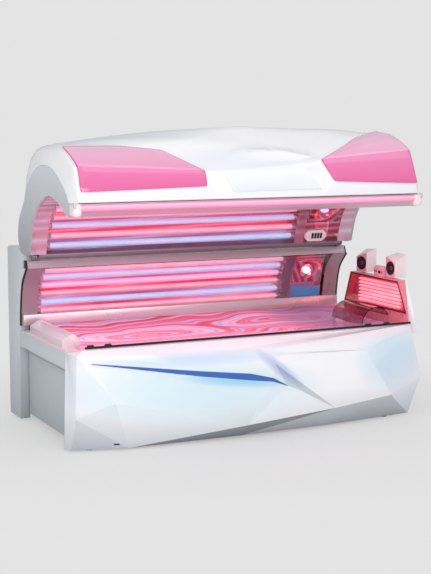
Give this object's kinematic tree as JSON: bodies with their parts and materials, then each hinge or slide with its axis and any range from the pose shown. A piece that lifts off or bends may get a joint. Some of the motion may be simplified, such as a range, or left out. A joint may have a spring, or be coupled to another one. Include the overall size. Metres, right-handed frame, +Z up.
{
  "type": "red light therapy bed",
  "caption": "Lying bench with curved lamp panes, a rear lamp wall, a hinged lamp canopy on gas springs and a shoulder lamp unit with turning loudspeakers.",
  "frame": {"origin": "centre of the box's bottom face, on the floor, canopy open", "axes": "+X along the length towards the head end, +Y from the user's side to the back, +Z up"},
  "size_m": [2.356, 1.251, 1.804],
  "materials": {
    "frame": "satin",
    "foot": "matte",
    "fascia": "gloss",
    "groove": "gloss",
    "grey_cover": "satin",
    "mirror": "polished",
    "lamp": "satin",
    "acrylic": "clear gloss",
    "blush": "gloss",
    "ballast": "satin",
    "black": "matte",
    "gasket": "matte",
    "rail": "satin",
    "band": "satin",
    "unit": "gloss",
    "socket": "matte",
    "pin": "satin",
    "pink_window": "gloss",
    "head_glass": "clear gloss",
    "console": "gloss",
    "light_tube": "satin",
    "dark_rail": "satin"
  },
  "bodies": {
    "base": {"base_frame": "frame", "leveling_feet": "foot", "front_fascia": "fascia", "fascia_light_strip": "groove", "end_bands": "grey_cover", "end_panels": "grey_cover", "left_tower_cover": "grey_cover", "right_tower_cover": "grey_cover", "rear_cover": "grey_cover", "bench_reflector": "mirror", "bench_lamps": "lamp", "bench_pane": "acrylic", "end_mouldings": "blush", "headrest": "acrylic", "ballast_units": "ballast", "electrical_box": "ballast", "fan_housing": "black", "side_reflector": "mirror", "side_lamps": "lamp", "side_pane": "acrylic", "side_bands": "band", "seals": "gasket", "mid_rail": "rail", "lower_rail": "rail", "side_face_unit": "unit", "base_lamp_holders": "socket", "hinge_pins": "pin", "head_housing": "fascia", "head_outer_skin": "fascia", "head_window": "head_glass", "head_lamps": "lamp", "audio_console": "console"},
    "canopy": {"canopy_frame": "grey_cover", "canopy_shell": "fascia", "canopy_windows": "pink_window", "badge_panel": "fascia", "canopy_reflector": "mirror", "canopy_lamps": "lamp", "canopy_lamp_holders": "socket", "canopy_pane": "acrylic", "canopy_bands": "band", "canopy_face_unit": "unit", "handle_rail": "rail", "handle_light_tube": "light_tube", "canopy_rear_rail": "dark_rail", "control_panel": "blush"},
    "fan": {"fan_rotor": "black"},
    "knob": {"volume_knob": "black"},
    "speaker_rear": {"speaker_left": "blush"},
    "speaker_front": {"speaker_right": "blush"},
    "cylinders": {"spring_cylinders": "black"},
    "rods": {"spring_rods": "pin"},
    "lock_1": {"pane_lock_1": "black"},
    "lock_2": {"pane_lock_2": "black"},
    "lock_3": {"pane_lock_3": "black"},
    "lock_4": {"pane_lock_4": "black"},
    "key_1": {"rocker_key_1": "black"},
    "key_2": {"rocker_key_2": "black"},
    "key_3": {"rocker_key_3": "black"},
    "key_4": {"rocker_key_4": "black"}
  },
  "joints": [
    {"name": "canopy_hinge", "type": "hinge", "parent": "base", "child": "canopy", "pos_m": [-0.0655, 0.2575, 1.03], "axis": [1, 0, 0], "range_deg": [0, 47]},
    {"name": "spring_tilt", "type": "hinge", "parent": "base", "child": "cylinders", "pos_m": [-0.0655, 0.5275, 0.6], "axis": [1, 0, 0], "range_deg": [-2, 0.2]},
    {"name": "spring_stroke", "type": "slide", "parent": "cylinders", "child": "rods", "axis": [0, -0.4612, 0.8873], "range_m": [0, 0.045]},
    {"name": "speaker_rear_turn", "type": "hinge", "parent": "base", "child": "speaker_rear", "pos_m": [1.093, 0.1145, 0.837], "axis": [0, 0, 1], "range_deg": [-25, 15]},
    {"name": "speaker_front_turn", "type": "hinge", "parent": "base", "child": "speaker_front", "pos_m": [1.093, -0.2345, 0.837], "axis": [0, 0, 1], "range_deg": [-25, 20]},
    {"name": "fan_spin", "type": "hinge", "parent": "base", "child": "fan", "pos_m": [-0.0655, 0.5775, 0.52], "axis": [0, 1, 0], "continuous": true},
    {"name": "volume_turn", "type": "hinge", "parent": "base", "child": "knob", "pos_m": [1.069, -0.1225, 0.867], "axis": [1, 0, 0], "range_deg": [-150, 150]},
    {"name": "pane_lock_turn_1", "type": "hinge", "parent": "base", "child": "lock_1", "pos_m": [-1.013, -0.40022, 0.57814], "axis": [0, 0.1517, 0.9884], "range_deg": [0, 90]},
    {"name": "pane_lock_turn_2", "type": "hinge", "parent": "base", "child": "lock_2", "pos_m": [-0.908, -0.40022, 0.57814], "axis": [0, 0.1517, 0.9884], "range_deg": [0, 90]},
    {"name": "pane_lock_turn_3", "type": "hinge", "parent": "base", "child": "lock_3", "pos_m": [0.812, -0.40022, 0.57814], "axis": [0, 0.1517, 0.9884], "range_deg": [0, 90]},
    {"name": "pane_lock_turn_4", "type": "hinge", "parent": "base", "child": "lock_4", "pos_m": [0.947, -0.40022, 0.57814], "axis": [0, 0.1517, 0.9884], "range_deg": [0, 90]},
    {"name": "rocker_press_1", "type": "hinge", "parent": "canopy", "child": "key_1", "pos_m": [0.7319, 0.16737, 1.09098], "axis": [1, 0, 0], "range_deg": [-5, 5], "stiffness_Nm_per_rad": 0.3},
    {"name": "rocker_press_2", "type": "hinge", "parent": "canopy", "child": "key_2", "pos_m": [0.7529, 0.16737, 1.09098], "axis": [1, 0, 0], "range_deg": [-5, 5], "stiffness_Nm_per_rad": 0.3},
    {"name": "rocker_press_3", "type": "hinge", "parent": "canopy", "child": "key_3", "pos_m": [0.7739, 0.16737, 1.09098], "axis": [1, 0, 0], "range_deg": [-5, 5], "stiffness_Nm_per_rad": 0.3},
    {"name": "rocker_press_4", "type": "hinge", "parent": "canopy", "child": "key_4", "pos_m": [0.7949, 0.16737, 1.09098], "axis": [1, 0, 0], "range_deg": [-5, 5], "stiffness_Nm_per_rad": 0.3}
  ],
  "couplings": [
    {"joint": "spring_tilt", "follows": "canopy_hinge", "ratio": -0.03088},
    {"joint": "spring_stroke", "follows": "canopy_hinge", "m_per_rad": 0.04822}
  ]
}
